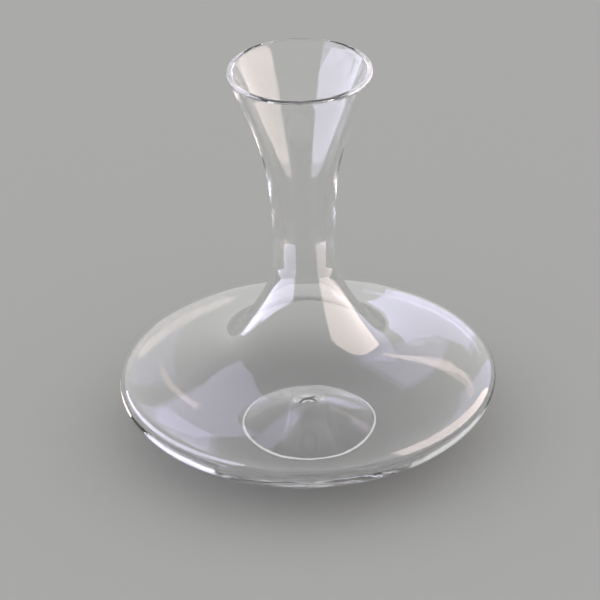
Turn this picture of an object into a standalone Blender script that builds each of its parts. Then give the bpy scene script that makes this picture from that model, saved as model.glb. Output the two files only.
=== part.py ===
"""Wine decanter: one blown glass vessel with a wide low bowl, a slender neck and a flared mouth.

The vessel is round about the Z axis, and its origin is the middle of the plane that its foot rests on.
One half of its section, a closed outline of outside and inside, is worked out from the sizes below and
turned by a Screw modifier. Points of the section are (radius, height) pairs, in metres.
"""

import math

import bpy
from mathutils import Vector

# Whole vessel
HEIGHT = 0.229
BOWL_RADIUS = 0.1075

# Mouth: flared, ground flat on top and fire-polished at both edges
MOUTH_RADIUS = 0.0405
MOUTH_LEAN = math.radians(22)
MOUTH_WALL = 0.0033
MOUTH_EDGE_RADIUS = 0.0011

# Neck, at its narrowest
NECK_RADIUS = 0.0174
NECK_HEIGHT = 0.110

# Neck's wall: thickest some way above the narrowest place, and thin again just below it
NECK_WALL = 0.0052
NECK_WALL_RISE = 0.020
COLLAR_WALL = 0.0023
COLLAR_WALL_DROP = 0.005

# How soon the wall thins from the neck up to the mouth: at 1 evenly, higher is sooner
MOUTH_THINNING = 4

# Shoulder, where the neck opens into the bowl
SHOULDER_RADIUS = 0.0427
SHOULDER_HEIGHT = 0.0617
SHOULDER_SLOPE = math.radians(47.4)
SHOULDER_WALL = 0.0022

# Bowl, at its widest
BOWL_HEIGHT = 0.0331
BOWL_WALL = 0.0020

# Base: a ring that rests on the table round a pushed-up punt, with a round dimple inside at its top
FOOT_RADIUS = 0.0385
FOOT_WIDTH = 0.0018
FLOOR_WALL = 0.0035
PUNT_HEIGHT = 0.0110
DIMPLE_RADIUS = 0.0115
DIMPLE_DEPTH = 0.0012

# Fullness of each curve: how far its two ends hold their heading, as a share of the span they cross
MOUTH_FULLNESS = (0.89, 0.45)
COLLAR_FULLNESS = (0.26, 0.35)
SHOULDER_FULLNESS = (0.305, 0.63)
UNDERSIDE_FULLNESS = (0.41, 0.50)
PUNT_FULLNESS = (0.04, 0.45)

# Fineness of the mesh
TURN_STEPS = 48
MOUTH_POINTS = 12
COLLAR_POINTS = 10
SHOULDER_POINTS = 9
UNDERSIDE_POINTS = 9
PUNT_POINTS = 11
EDGE_POINTS = 4

POLE_MERGE = 0.00001

DOWN = Vector((0, -1))
INWARDS = Vector((-1, 0))


def direction(angle):
    """The unit vector at this angle from straight outwards, towards straight up."""
    return Vector((math.cos(angle), math.sin(angle)))


def ease(share):
    """A share from 0 to 1 that leaves and arrives gently."""
    return share * share * (3 - 2 * share)


def side_wall(height):
    """The thickness of the side's wall at this height, which runs on evenly below the thick neck."""
    thickest = NECK_HEIGHT + NECK_WALL_RISE
    if height > thickest:
        share = (HEIGHT - height) / (HEIGHT - thickest)
        return MOUTH_WALL + (NECK_WALL - MOUTH_WALL) * share**MOUTH_THINNING
    places = [
        (thickest, NECK_WALL), (NECK_HEIGHT - COLLAR_WALL_DROP, COLLAR_WALL),
        (SHOULDER_HEIGHT, SHOULDER_WALL), (BOWL_HEIGHT, BOWL_WALL), (0, FLOOR_WALL),
    ]
    for (high, upper), (low, lower) in zip(places, places[1:]):
        if height >= low:
            return lower + (upper - lower) * (height - low) / (high - low)


def floor_wall(height):
    """The thickness of the floor, the same at every height."""
    return FLOOR_WALL


def stretch(start, start_pull, end, end_pull, wall, count):
    """One curved stretch of the outside, from start to end, as (point, heading, wall) rows.

    start_pull leaves the start and end_pull arrives at the end, each as a vector. wall gives the
    thickness at a height. The last point is left to the next stretch.
    """
    a, b, c, d = start, start + start_pull, end - end_pull, end
    rows = []
    for i in range(count):
        t = i / count
        s = 1 - t
        point = s**3 * a + 3 * s * s * t * b + 3 * s * t * t * c + t**3 * d
        heading = s * s * (b - a) + 2 * s * t * (c - b) + t * t * (d - c)
        rows.append((point, heading.normalized(), wall(point.y)))
    return rows


def side_stretches():
    """The outside from the mouth's lower edge down to the foot, as stretch() rows."""
    wall_heading = -direction(math.pi / 2 - MOUTH_LEAN)
    mouth = lip_centre() + MOUTH_EDGE_RADIUS * direction(-MOUTH_LEAN)
    neck = Vector((NECK_RADIUS, NECK_HEIGHT))
    shoulder = Vector((SHOULDER_RADIUS, SHOULDER_HEIGHT))
    shoulder_heading = direction(-SHOULDER_SLOPE)
    widest = Vector((BOWL_RADIUS, BOWL_HEIGHT))
    foot = Vector((FOOT_RADIUS, 0))

    flare = HEIGHT - NECK_HEIGHT
    flare_run = (mouth.x - NECK_RADIUS) / math.sin(MOUTH_LEAN)
    collar = NECK_HEIGHT - SHOULDER_HEIGHT
    slope = (widest - shoulder).length
    drop = SHOULDER_HEIGHT - BOWL_HEIGHT
    spread = BOWL_RADIUS - FOOT_RADIUS

    rows = stretch(
        mouth, MOUTH_FULLNESS[0] * flare_run * wall_heading,
        neck, MOUTH_FULLNESS[1] * flare * DOWN,
        side_wall, MOUTH_POINTS,
    )
    rows += stretch(
        neck, COLLAR_FULLNESS[0] * collar * DOWN,
        shoulder, COLLAR_FULLNESS[1] * collar * shoulder_heading,
        side_wall, COLLAR_POINTS,
    )
    rows += stretch(
        shoulder, SHOULDER_FULLNESS[0] * slope * shoulder_heading,
        widest, SHOULDER_FULLNESS[1] * drop * DOWN,
        side_wall, SHOULDER_POINTS,
    )
    rows += stretch(
        widest, UNDERSIDE_FULLNESS[0] * BOWL_HEIGHT * DOWN,
        foot, UNDERSIDE_FULLNESS[1] * spread * INWARDS,
        side_wall, UNDERSIDE_POINTS,
    )
    rows.append((foot, INWARDS, FLOOR_WALL))
    return rows


def punt_stretch():
    """The underside from the foot's inner edge up to the middle of the punt, as stretch() rows."""
    edge = Vector((FOOT_RADIUS - FOOT_WIDTH, 0))
    top = Vector((0, PUNT_HEIGHT))
    rows = stretch(
        edge, PUNT_FULLNESS[0] * edge.x * INWARDS,
        top, PUNT_FULLNESS[1] * edge.x * INWARDS,
        floor_wall, PUNT_POINTS,
    )
    rows.append((top, INWARDS, FLOOR_WALL))
    return rows


def inside_of(row):
    """The point of the inside that faces this row of the outside, straight through the wall."""
    point, heading, wall = row
    return point + wall * Vector((heading.y, -heading.x))


def dimpled(point):
    """This point of the inside, lowered where it lies in the dimple at the top of the punt."""
    share = max(0, 1 - point.x / DIMPLE_RADIUS)
    return point - Vector((0, DIMPLE_DEPTH * ease(share)))


def lip_centre():
    """The centre of the rounding on the mouth's outer edge."""
    return Vector((MOUTH_RADIUS - MOUTH_EDGE_RADIUS, HEIGHT - MOUTH_EDGE_RADIUS))


def arc(centre, radius, first, last, count):
    """Points round a centre from the angle first to the angle last, both included."""
    return [centre + radius * direction(first + (last - first) * i / count) for i in range(count + 1)]


def mouth_edges(inside_top):
    """The lip from the inside wall over its flat top to the outside wall.

    inside_top is where the inside wall would reach the mouth if its edge were left sharp.
    """
    lean = MOUTH_LEAN
    wall_line = inside_top + MOUTH_EDGE_RADIUS * direction(-lean)
    climb = (HEIGHT - MOUTH_EDGE_RADIUS - wall_line.y) / math.cos(lean)
    inner_centre = wall_line + climb * direction(math.pi / 2 - lean)
    inner = arc(inner_centre, MOUTH_EDGE_RADIUS, math.pi - lean, math.pi / 2, EDGE_POINTS)
    outer = arc(lip_centre(), MOUTH_EDGE_RADIUS, math.pi / 2, -lean, EDGE_POINTS)
    return inner + outer[:-1]


def section():
    """Half of the vessel's section: up the inside from the middle of its floor, over the lip and down
    the outside to the foot, then along the underside to the axis.

    The floor's inside leaves out the foot's inner edge, where the punt turns up too sharply for the
    thick floor to follow it, and runs straight on to the side over the foot.
    """
    outside = side_stretches()
    punt = punt_stretch()
    floor = [dimpled(inside_of(row)) for row in reversed(punt[1:])]
    wall = [inside_of(row) for row in reversed(outside)]
    lip = mouth_edges(wall[-1])
    below_lip = [point for point in wall if point.y < lip[0].y - MOUTH_EDGE_RADIUS]
    return floor + below_lip + lip + [row[0] for row in outside] + [row[0] for row in punt]


def clear_glass():
    """Colourless blown glass: smooth, clear and fully transmitting."""
    material = bpy.data.materials.new("clear_glass")
    material.use_nodes = True
    shader = material.node_tree.nodes["Principled BSDF"]
    shader.inputs["Base Color"].default_value = (0.95, 0.97, 0.97, 1)
    shader.inputs["Roughness"].default_value = 0.02
    shader.inputs["Metallic"].default_value = 0
    shader.inputs["IOR"].default_value = 1.52
    shader.inputs["Transmission Weight"].default_value = 1
    return material


def turned(name, points, collection, material):
    """A new object: the outline of these (radius, height) points, turned about Z."""
    mesh = bpy.data.meshes.new(name)
    edges = [(i, i + 1) for i in range(len(points) - 1)]
    mesh.from_pydata([(radius, 0, height) for radius, height in points], edges, [])
    mesh.materials.append(material)
    piece = bpy.data.objects.new(name, mesh)
    collection.objects.link(piece)
    turn = piece.modifiers.new("Turn", "SCREW")
    turn.axis = "Z"
    turn.steps = TURN_STEPS
    turn.render_steps = TURN_STEPS
    turn.use_merge_vertices = True
    turn.merge_threshold = POLE_MERGE
    turn.use_smooth_shade = True
    return piece


def main():
    for old in list(bpy.data.objects):
        bpy.data.objects.remove(old, do_unlink=True)
    collection = bpy.data.collections.new("wine_decanter")
    bpy.context.scene.collection.children.link(collection)
    turned("glass_vessel", section(), collection, clear_glass())


main()
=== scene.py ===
"""A clear, blown glass wine decanter with a wide low bowl, a slender neck and a flared mouth.

It stands on a pale floor under an even white sky, among seven soft panels that show in its
reflections: two cool ones on the left, a warm one on the right, and four dimmer ones farther back.
Lengths are in metres, and points of the vessel's section are (radius, height) pairs.
"""

import math

import bpy
from mathutils import Matrix, Vector


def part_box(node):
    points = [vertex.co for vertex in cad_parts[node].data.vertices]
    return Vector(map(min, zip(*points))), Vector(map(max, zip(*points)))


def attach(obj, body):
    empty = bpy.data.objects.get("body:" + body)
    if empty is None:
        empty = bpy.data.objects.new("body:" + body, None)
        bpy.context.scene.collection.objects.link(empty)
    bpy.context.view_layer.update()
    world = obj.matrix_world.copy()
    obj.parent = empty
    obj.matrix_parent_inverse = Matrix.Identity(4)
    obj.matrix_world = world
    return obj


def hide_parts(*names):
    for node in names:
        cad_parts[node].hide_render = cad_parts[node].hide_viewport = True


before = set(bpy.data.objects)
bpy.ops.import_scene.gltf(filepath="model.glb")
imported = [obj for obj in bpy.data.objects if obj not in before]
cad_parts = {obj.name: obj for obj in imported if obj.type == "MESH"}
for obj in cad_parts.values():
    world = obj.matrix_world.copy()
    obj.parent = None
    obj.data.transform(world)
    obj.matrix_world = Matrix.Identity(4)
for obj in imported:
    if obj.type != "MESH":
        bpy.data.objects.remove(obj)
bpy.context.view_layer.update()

MM = 0.001

# Sizes read from the frame
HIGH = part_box("glass_vessel")[1]
HEIGHT = HIGH.z
BOWL_RADIUS = HIGH.x

# Mouth: flared, ground flat on top and fire-polished at both edges
MOUTH_RADIUS = 40.5 * MM
MOUTH_LEAN = math.radians(22)
MOUTH_WALL = 3.3 * MM
MOUTH_EDGE_RADIUS = 1.1 * MM

# Neck, at its narrowest, with the thickest wall a little higher up
NECK_RADIUS = 17.4 * MM
NECK_HEIGHT = 110 * MM
NECK_WALL = 5.2 * MM
NECK_WALL_HEIGHT = 130 * MM

# How soon the wall thins from the neck up to the mouth: at 1 evenly, higher is sooner
MOUTH_THINNING = 4

# Collar, where the wall has thinned again
COLLAR_WALL = 2.3 * MM
COLLAR_WALL_HEIGHT = 105 * MM

# Shoulder, where the neck opens into the bowl
SHOULDER_RADIUS = 42.7 * MM
SHOULDER_HEIGHT = 61.7 * MM
SHOULDER_SLOPE = math.radians(47.4)
SHOULDER_WALL = 2.2 * MM

# Bowl, at its widest
BOWL_HEIGHT = 33.1 * MM
BOWL_WALL = 2 * MM

# Base: a ring that rests on the table round a pushed-up punt, with a round dimple inside at its top
FOOT_RADIUS = 38.5 * MM
FOOT_WIDTH = 1.8 * MM
FLOOR_WALL = 3.5 * MM
PUNT_HEIGHT = 11 * MM
DIMPLE_RADIUS = 11.5 * MM
DIMPLE_DEPTH = 1.2 * MM

# Fullness of each curve: how far its two ends hold their heading, as a share of the span they cross
MOUTH_FULLNESS = (0.89, 0.45)
COLLAR_FULLNESS = (0.26, 0.35)
SHOULDER_FULLNESS = (0.305, 0.63)
UNDERSIDE_FULLNESS = (0.41, 0.50)
PUNT_FULLNESS = (0.04, 0.45)

# Fineness of the blown surface
TURN_STEPS = 200
MOUTH_POINTS = 38
COLLAR_POINTS = 30
SHOULDER_POINTS = 34
UNDERSIDE_POINTS = 34
PUNT_POINTS = 30
EDGE_POINTS = 8
POLE_MERGE = 0.005 * MM

# Unevenness of the hand-worked glass: short ripples in the fire-polished lip, long ones all over the
# wall, which die away below the steady height because the foot is ground flat
LIP_DEPTH = 2.5 * MM
LIP_RIPPLE = 5 * MM
LIP_RIPPLE_DEPTH = 0.35 * MM
WALL_RIPPLE = 40 * MM
WALL_RIPPLE_DEPTH = 0.25 * MM
STEADY_HEIGHT = 20 * MM

DOWN = Vector((0, -1))
INWARDS = Vector((-1, 0))


# ---------------------------------------------------------------- the vessel's section

def direction(angle):
    """The unit vector at this angle from straight outwards, towards straight up."""
    return Vector((math.cos(angle), math.sin(angle)))


def ease(share):
    """A share from 0 to 1 that leaves and arrives gently."""
    return share * share * (3 - 2 * share)


def wall_at(height):
    """The side's wall thickness at this height, which runs on between the named places."""
    if height > NECK_WALL_HEIGHT:
        share = (HEIGHT - height) / (HEIGHT - NECK_WALL_HEIGHT)
        return MOUTH_WALL + (NECK_WALL - MOUTH_WALL) * share**MOUTH_THINNING
    places = [
        (NECK_WALL_HEIGHT, NECK_WALL), (COLLAR_WALL_HEIGHT, COLLAR_WALL),
        (SHOULDER_HEIGHT, SHOULDER_WALL), (BOWL_HEIGHT, BOWL_WALL), (0, FLOOR_WALL),
    ]
    for (high, upper), (low, lower) in zip(places, places[1:]):
        if height >= low:
            return lower + (upper - lower) * (height - low) / (high - low)


def stretch(start, start_pull, end, end_pull, wall, count):
    """One curved stretch of the outside, from start to end, as (point, heading, wall) rows.

    start_pull leaves the start and end_pull arrives at the end, each as a vector. wall gives the
    thickness at a height. The last point is left to the next stretch.
    """
    a, b, c, d = start, start + start_pull, end - end_pull, end
    rows = []
    for i in range(count):
        t = i / count
        s = 1 - t
        point = s**3 * a + 3 * s * s * t * b + 3 * s * t * t * c + t**3 * d
        heading = s * s * (b - a) + 2 * s * t * (c - b) + t * t * (d - c)
        rows.append((point, heading.normalized(), wall(point.y)))
    return rows


def lip_centre():
    """The centre of the rounding on the mouth's outer edge."""
    return Vector((MOUTH_RADIUS - MOUTH_EDGE_RADIUS, HEIGHT - MOUTH_EDGE_RADIUS))


def side_stretches():
    """The outside from the mouth's lower edge down to the foot, as stretch() rows."""
    wall_heading = -direction(math.pi / 2 - MOUTH_LEAN)
    mouth = lip_centre() + MOUTH_EDGE_RADIUS * direction(-MOUTH_LEAN)
    neck = Vector((NECK_RADIUS, NECK_HEIGHT))
    shoulder = Vector((SHOULDER_RADIUS, SHOULDER_HEIGHT))
    shoulder_heading = direction(-SHOULDER_SLOPE)
    widest = Vector((BOWL_RADIUS, BOWL_HEIGHT))
    foot = Vector((FOOT_RADIUS, 0))

    flare = HEIGHT - NECK_HEIGHT
    flare_run = (mouth.x - NECK_RADIUS) / math.sin(MOUTH_LEAN)
    collar = NECK_HEIGHT - SHOULDER_HEIGHT
    slope = (widest - shoulder).length
    drop = SHOULDER_HEIGHT - BOWL_HEIGHT
    spread = BOWL_RADIUS - FOOT_RADIUS

    rows = stretch(
        mouth, MOUTH_FULLNESS[0] * flare_run * wall_heading,
        neck, MOUTH_FULLNESS[1] * flare * DOWN,
        wall_at, MOUTH_POINTS,
    )
    rows += stretch(
        neck, COLLAR_FULLNESS[0] * collar * DOWN,
        shoulder, COLLAR_FULLNESS[1] * collar * shoulder_heading,
        wall_at, COLLAR_POINTS,
    )
    rows += stretch(
        shoulder, SHOULDER_FULLNESS[0] * slope * shoulder_heading,
        widest, SHOULDER_FULLNESS[1] * drop * DOWN,
        wall_at, SHOULDER_POINTS,
    )
    rows += stretch(
        widest, UNDERSIDE_FULLNESS[0] * BOWL_HEIGHT * DOWN,
        foot, UNDERSIDE_FULLNESS[1] * spread * INWARDS,
        wall_at, UNDERSIDE_POINTS,
    )
    rows.append((foot, INWARDS, FLOOR_WALL))
    return rows


def punt_stretch():
    """The underside from the foot's inner edge up to the middle of the punt, as stretch() rows."""
    edge = Vector((FOOT_RADIUS - FOOT_WIDTH, 0))
    top = Vector((0, PUNT_HEIGHT))
    rows = stretch(
        edge, PUNT_FULLNESS[0] * edge.x * INWARDS,
        top, PUNT_FULLNESS[1] * edge.x * INWARDS,
        lambda height: FLOOR_WALL, PUNT_POINTS,
    )
    rows.append((top, INWARDS, FLOOR_WALL))
    return rows


def inside_of(row):
    """The point of the inside that faces this row of the outside, straight through the wall."""
    point, heading, wall = row
    return point + wall * Vector((heading.y, -heading.x))


def dimpled(point):
    """This point of the inside, lowered where it lies in the dimple at the top of the punt."""
    share = max(0, 1 - point.x / DIMPLE_RADIUS)
    return point - Vector((0, DIMPLE_DEPTH * ease(share)))


def arc(centre, radius, first, last, count):
    """Points round a centre from the angle first to the angle last, both included."""
    return [centre + radius * direction(first + (last - first) * i / count) for i in range(count + 1)]


def mouth_edges(inside_top):
    """The lip from the inside wall over its flat top to the outside wall.

    inside_top is where the inside wall would reach the mouth if its edge were left sharp.
    """
    lean = MOUTH_LEAN
    wall_line = inside_top + MOUTH_EDGE_RADIUS * direction(-lean)
    climb = (HEIGHT - MOUTH_EDGE_RADIUS - wall_line.y) / math.cos(lean)
    inner_centre = wall_line + climb * direction(math.pi / 2 - lean)
    inner = arc(inner_centre, MOUTH_EDGE_RADIUS, math.pi - lean, math.pi / 2, EDGE_POINTS)
    outer = arc(lip_centre(), MOUTH_EDGE_RADIUS, math.pi / 2, -lean, EDGE_POINTS)
    return inner + outer[:-1]


def section():
    """Half of the vessel's section, from the middle of its floor over the lip to the punt's middle.

    The floor's inside leaves out the foot's inner edge, where the punt turns up too sharply for the
    thick floor to follow it.
    """
    outside = side_stretches()
    punt = punt_stretch()
    floor = [dimpled(inside_of(row)) for row in reversed(punt[1:])]
    wall = [inside_of(row) for row in reversed(outside)]
    lip = mouth_edges(wall[-1])
    below_lip = [point for point in wall if point.y < lip[0].y - MOUTH_EDGE_RADIUS]
    return floor + below_lip + lip + [row[0] for row in outside] + [row[0] for row in punt]


# ---------------------------------------------------------------- modelling

def deselect_all():
    for obj in bpy.context.selected_objects:
        obj.select_set(False)


def draw_profile(points, name):
    """A new object holding one line of vertices, drawn point by point in the XZ plane."""
    deselect_all()
    bpy.ops.mesh.primitive_plane_add(size=MM, location=(0, 0, 0))
    profile = bpy.context.object
    profile.name = name
    bpy.ops.object.mode_set(mode="EDIT")
    bpy.ops.mesh.select_all(action="SELECT")
    bpy.ops.mesh.merge(type="CENTER")
    bpy.ops.transform.translate(value=(points[0].x, 0, points[0].y))
    for here, following in zip(points, points[1:]):
        step = following - here
        bpy.ops.mesh.extrude_region_move(TRANSFORM_OT_translate={"value": (step.x, 0, step.y)})
    bpy.ops.object.mode_set(mode="OBJECT")
    return profile


def ripple(piece, name, length, depth, group):
    """The slight unevenness of hand-worked glass: waves of this length and depth in one vertex group."""
    cloud = bpy.data.textures.new(name, "CLOUDS")
    cloud.noise_scale = length
    cloud.noise_depth = 0
    waves = piece.modifiers.new(name, "DISPLACE")
    waves.texture = cloud
    waves.texture_coords = "LOCAL"
    waves.strength = depth
    waves.vertex_group = group
    bpy.ops.object.modifier_apply(modifier=name)


def blow_vessel():
    """The whole vessel, spun from its section and closed at both poles and along its seam."""
    vessel = draw_profile(section(), "decanter_glass")
    bpy.ops.object.mode_set(mode="EDIT")
    bpy.ops.mesh.select_all(action="SELECT")
    bpy.ops.mesh.spin(steps=TURN_STEPS, angle=2 * math.pi, center=(0, 0, 0), axis=(0, 0, 1))
    bpy.ops.mesh.select_all(action="SELECT")
    bpy.ops.mesh.remove_doubles(threshold=POLE_MERGE)
    bpy.ops.mesh.normals_make_consistent(inside=False)
    bpy.ops.object.mode_set(mode="OBJECT")
    bpy.ops.object.shade_smooth()
    lip = vessel.vertex_groups.new(name="lip")
    wall = vessel.vertex_groups.new(name="wall")
    for vertex in vessel.data.vertices:
        height = vertex.co.z
        wall.add([vertex.index], min(1, max(0, height / STEADY_HEIGHT)), "REPLACE")
        if height > HEIGHT - LIP_DEPTH:
            lip.add([vertex.index], 1, "REPLACE")
    ripple(vessel, "polished_lip", LIP_RIPPLE, LIP_RIPPLE_DEPTH, "lip")
    ripple(vessel, "blown_wall", WALL_RIPPLE, WALL_RIPPLE_DEPTH, "wall")
    return vessel


# ---------------------------------------------------------------- materials

# Blown glass: cords drawn out along the axis, slow waves, and patches of a faint film
GLASS_TINT = "FDFDFD"
GLASS_IOR = 1.52
CORD_WIDTH = 7 * MM
CORD_STRETCH = 0.25
CORD_DETAIL = 2
CORD_FINENESS = 0.4
CORD_DEPTH = 0.025 * MM
WAVE_LENGTH = 28 * MM
WAVE_DETAIL = 1
WAVE_DEPTH = 0.12 * MM
FILM_PATCH = 30 * MM
FILM_DETAIL = 4
FILM_START = 0.5
FILM_FULL = 0.8
FILM_ROUGHNESS = 0.02

# Floor paper
PAPER_TINT = "BCBCBA"
PAPER_ROUGHNESS = 0.9


def colour(code):
    """An sRGB hex code as a linear RGBA colour."""
    def linear(value):
        return value / 12.92 if value <= 0.04045 else ((value + 0.055) / 1.055) ** 2.4
    return [linear(int(code[i:i + 2], 16) / 255) for i in (0, 2, 4)] + [1]


def add_node(tree, kind, settings=None, links=None):
    """A node with these attributes and sockets set, and these sockets linked from other nodes."""
    node = tree.nodes.new(kind)
    for name, value in (settings or {}).items():
        if name in node.inputs:
            node.inputs[name].default_value = value
        else:
            setattr(node, name, value)
    for name, source in (links or {}).items():
        tree.links.new(source, node.inputs[name])
    return node


def new_material(name):
    """A new material, with its node tree and its shader."""
    material = bpy.data.materials.new(name)
    material.use_nodes = True
    tree = material.node_tree
    return material, tree, tree.nodes["Principled BSDF"]


def blown_glass():
    """Colourless soda-lime glass, free-blown and fire-polished.

    Blowing leaves slow waves and stretched cords in the glass, which bend reflections a little, and
    fire-polishing leaves it glossy. Handling leaves the faintest film, which the roughness varies with.
    """
    material, tree, shader = new_material("blown_clear_glass")
    shader.inputs["Base Color"].default_value = colour(GLASS_TINT)
    shader.inputs["IOR"].default_value = GLASS_IOR
    shader.inputs["Transmission Weight"].default_value = 1
    place = add_node(tree, "ShaderNodeTexCoord")
    drawn = add_node(tree, "ShaderNodeMapping", {"Scale": (1, 1, CORD_STRETCH)},
                     {"Vector": place.outputs["Object"]})
    cords = add_node(tree, "ShaderNodeTexNoise",
                     {"Scale": 1 / CORD_WIDTH, "Detail": CORD_DETAIL, "Roughness": CORD_FINENESS},
                     {"Vector": drawn.outputs["Vector"]})
    waves = add_node(tree, "ShaderNodeTexNoise", {"Scale": 1 / WAVE_LENGTH, "Detail": WAVE_DETAIL},
                     {"Vector": place.outputs["Object"]})
    cord_relief = add_node(tree, "ShaderNodeBump", {"Strength": 1, "Distance": CORD_DEPTH},
                           {"Height": cords.outputs["Fac"]})
    relief = add_node(tree, "ShaderNodeBump", {"Strength": 1, "Distance": WAVE_DEPTH},
                      {"Height": waves.outputs["Fac"], "Normal": cord_relief.outputs["Normal"]})
    film = add_node(tree, "ShaderNodeTexNoise", {"Scale": 1 / FILM_PATCH, "Detail": FILM_DETAIL},
                    {"Vector": place.outputs["Object"]})
    gloss = add_node(tree, "ShaderNodeMapRange",
                     {"From Min": FILM_START, "From Max": FILM_FULL, "To Min": 0, "To Max": FILM_ROUGHNESS},
                     {"Value": film.outputs["Fac"]})
    tree.links.new(gloss.outputs["Result"], shader.inputs["Roughness"])
    tree.links.new(relief.outputs["Normal"], shader.inputs["Normal"])
    return material


def matt_paper():
    """Pale seamless paper for the floor, matt all over, so that no panel shows in it."""
    material, _, shader = new_material("pale_seamless_paper")
    shader.inputs["Base Color"].default_value = colour(PAPER_TINT)
    shader.inputs["Roughness"].default_value = PAPER_ROUGHNESS
    shader.inputs["Specular IOR Level"].default_value = 0
    return material


# ---------------------------------------------------------------- stage, camera and light

FLOOR_SIZE = 30

# Camera: lens and sensor in millimetres, place in metres, turns in radians
LENS = 255
SENSOR = 36
CAMERA_REACH = 100
CAMERA_PLACE = Vector((0, -2.0961, 1.2740))
CAMERA_PITCH = 0.5166
CAMERA_YAW = -0.0016
CAMERA_ROLL = -0.0282

# Soft panels: how far they stand from the vessel's axis, and their two tints
NEAR = 0.54
BACK = 1.5
FAR = 8
COOL = "E9E6FF"
WARM = "FFEFEA"

# Each panel's name, distance, direction that it faces, first and last direction, lowest and highest
# edge, tint and strength. Directions are degrees to the right of the camera's side.
PANELS = [
    ("cool_panel", NEAR, -60, (-38, -135), (0, 0.20), COOL, 5),
    ("cool_window", FAR, -60, (-38, -110), (0, 2.3), COOL, 5),
    ("warm_panel", NEAR, 65, (49, 128), (0, 0.42), WARM, 4.4),
    ("high_cool_panel", BACK, -150, (-118, -165), (1.3, 2.6), COOL, 2),
    ("rear_cool_panel", BACK, 166, (158, 173), (0.15, 0.68), COOL, 1.8),
    ("high_warm_panel", BACK, 145, (128, 165), (0.97, 1.08), WARM, 2.4),
    ("side_cool_panel", BACK, 120, (95, 147), (0, 1.35), COOL, 1.6),
]

# The even white sky, which lights the floor
SKY_TINT = "FFFFFF"
SKY_STRENGTH = 0.8

# How often light may bounce, enough to pass through the wall and round inside it many times
BOUNCES = 48


def add_floor():
    """The pale floor that the vessel stands on."""
    deselect_all()
    bpy.ops.mesh.primitive_plane_add(size=FLOOR_SIZE, location=(0, 0, 0))
    floor = bpy.context.object
    floor.name = "floor"
    floor.data.materials.append(matt_paper())


def add_camera():
    """A long lens from the front, looking down on the vessel."""
    camera = bpy.data.objects.new("camera", bpy.data.cameras.new("camera"))
    bpy.context.scene.collection.objects.link(camera)
    camera.data.sensor_width = SENSOR
    camera.data.lens = LENS
    camera.data.clip_end = CAMERA_REACH
    turn = Matrix.Rotation(-CAMERA_YAW, 4, "Z") @ Matrix.Rotation(math.pi / 2 - CAMERA_PITCH, 4, "X")
    camera.matrix_world = Matrix.Translation(CAMERA_PLACE) @ turn @ Matrix.Rotation(CAMERA_ROLL, 4, "Z")
    bpy.context.scene.camera = camera


def glowing(name, tint, strength):
    """A soft panel's evenly lit cloth, which shows in reflections but not straight through the glass."""
    material = bpy.data.materials.new(name)
    material.use_nodes = True
    tree = material.node_tree
    tree.nodes.clear()
    glow = add_node(tree, "ShaderNodeEmission", {"Color": colour(tint), "Strength": strength})
    clear = add_node(tree, "ShaderNodeBsdfTransparent")
    path = add_node(tree, "ShaderNodeLightPath")
    both = add_node(tree, "ShaderNodeMixShader", links={"Fac": path.outputs["Glossy Depth"]})
    tree.links.new(clear.outputs["BSDF"], both.inputs[1])
    tree.links.new(glow.outputs["Emission"], both.inputs[2])
    add_node(tree, "ShaderNodeOutputMaterial", links={"Surface": both.outputs["Shader"]})
    return material


def add_panel(name, distance, facing, directions, heights, tint, strength):
    """An upright soft panel on the stage, which lights neither the floor nor the camera's view.

    Its plane is this far from the vessel's axis, square to the direction facing. It runs from the first
    of its directions to the last, and from the lower of its heights to the higher.
    """
    first, last = directions
    low, high = heights
    start = distance * math.tan(math.radians(first - facing))
    end = distance * math.tan(math.radians(last - facing))
    deselect_all()
    bpy.ops.mesh.primitive_plane_add(size=1, location=(0, 0, 0))
    panel = bpy.context.object
    panel.name = name
    bpy.ops.transform.resize(value=(end - start, high - low, 1))
    panel.rotation_euler = (math.pi / 2, 0, math.radians(facing))
    turn = Matrix.Rotation(math.radians(facing), 4, "Z")
    panel.location = turn @ Vector(((start + end) / 2, -distance, (low + high) / 2))
    panel.data.materials.append(glowing(name, tint, strength))
    panel.visible_camera = False
    panel.visible_diffuse = False
    panel.visible_shadow = False


def add_sky():
    """An even white sky, and plain display of the scene's tones."""
    world = bpy.data.worlds.new("studio")
    bpy.context.scene.world = world
    world.use_nodes = True
    background = world.node_tree.nodes["Background"]
    background.inputs["Color"].default_value = colour(SKY_TINT)
    background.inputs["Strength"].default_value = SKY_STRENGTH
    bpy.context.scene.view_settings.view_transform = "Standard"


def allow_bounces():
    """Let light through the many walls of clear glass that it meets."""
    cycles = bpy.context.scene.cycles
    cycles.max_bounces = BOUNCES
    cycles.transmission_bounces = BOUNCES
    cycles.glossy_bounces = BOUNCES


# ---------------------------------------------------------------- the scene

add_floor()
add_camera()
for panel in PANELS:
    add_panel(*panel)
add_sky()
allow_bounces()

vessel = blow_vessel()
vessel.data.materials.clear()
vessel.data.materials.append(blown_glass())
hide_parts("glass_vessel")
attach(vessel, "root")
